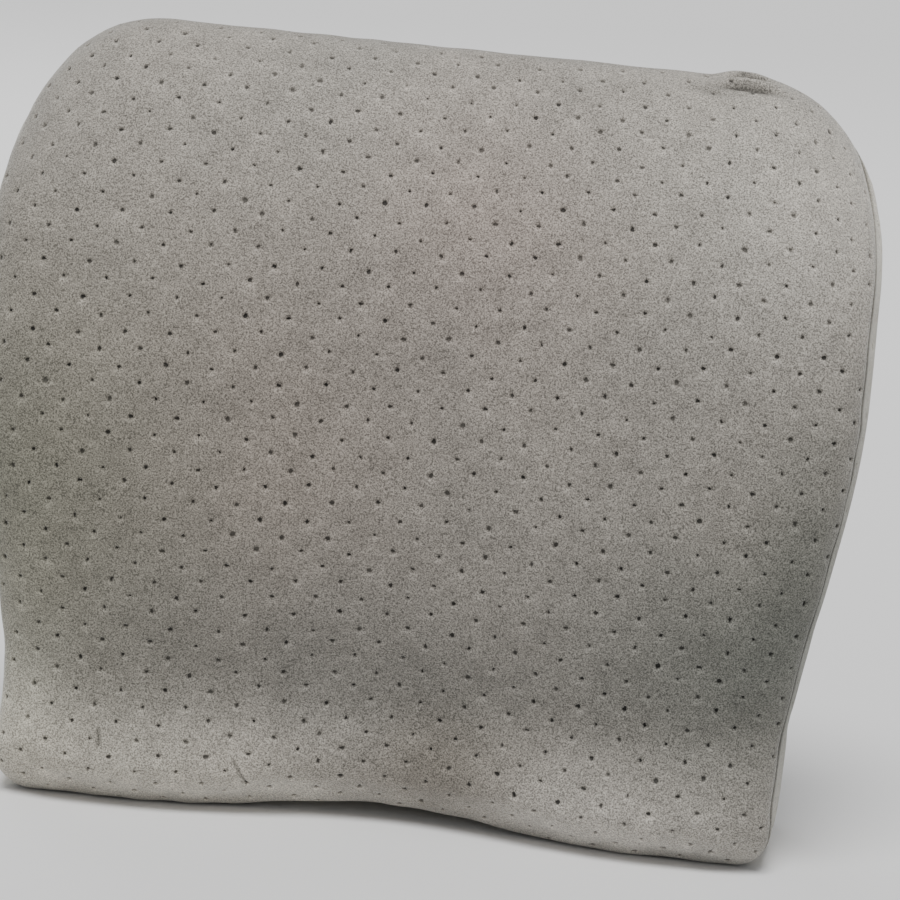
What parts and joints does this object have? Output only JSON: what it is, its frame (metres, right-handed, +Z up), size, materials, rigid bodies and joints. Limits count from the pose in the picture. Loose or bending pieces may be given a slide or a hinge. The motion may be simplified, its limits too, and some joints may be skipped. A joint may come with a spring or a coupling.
{
  "type": "lumbar support cushion",
  "caption": "Contoured memory-foam lumbar cushion in a perforated velour cover, with a zipped mesh back and a buckled, adjustable elastic strap behind.",
  "frame": {"origin": "on the floor under the middle of the whole object's box, with the cushion standing on its base", "axes": "+X to the right seen from the front, along the width; +Y from the front of the cushion to its strap; +Z up"},
  "size_m": [0.3448, 0.1296, 0.3045],
  "materials": {
    "velour": "napped",
    "band_velour": "napped",
    "air_mesh": "matte",
    "foam": "matte",
    "liner": "matte",
    "zip_tape": "matte",
    "zip_nylon": "satin",
    "zip_metal": "satin",
    "webbing": "matte",
    "patch_fabric": "matte",
    "moulded_plastic": "satin",
    "label_fabric": "matte"
  },
  "bodies": {
    "root": {"foam_core": "foam", "inner_liner_front": "liner", "inner_liner_back": "liner", "cover_front_panel": "velour", "cover_side_band": "band_velour", "cover_back_upper": "air_mesh", "cover_back_lower": "air_mesh", "zip_tape_upper": "zip_tape", "zip_tape_lower": "zip_tape", "zip_coil_upper": "zip_nylon", "zip_coil_lower": "zip_nylon", "zip_stop_start": "zip_metal", "zip_stop_end": "zip_metal", "strap_patch_left": "patch_fabric", "strap_patch_right": "patch_fabric", "strap_left": "webbing", "buckle_female": "moulded_plastic", "care_label": "label_fabric"},
    "slider_body": {"zip_slider": "zip_metal"},
    "pull_body": {"zip_pull": "zip_metal"},
    "strap_free_end": {"buckle_male": "moulded_plastic", "strap_right": "webbing"},
    "adjuster_body": {"strap_adjuster": "moulded_plastic"}
  },
  "joints": [
    {"name": "zip_slide", "type": "slide", "parent": "root", "child": "slider_body", "axis": [1, 0, 0], "range_m": [0, 0.2314]},
    {"name": "pull_flip", "type": "hinge", "parent": "slider_body", "child": "pull_body", "pos_m": [-0.1157, 0.04858, 0.05], "axis": [0, 0, 1], "range_deg": [0, 180]},
    {"name": "buckle_release", "type": "slide", "parent": "root", "child": "strap_free_end", "axis": [1, 0, 0], "range_m": [0, 0.024]},
    {"name": "adjuster_slide", "type": "slide", "parent": "strap_free_end", "child": "adjuster_body", "axis": [1, 0, 0], "range_m": [-0.04, 0]}
  ]
}
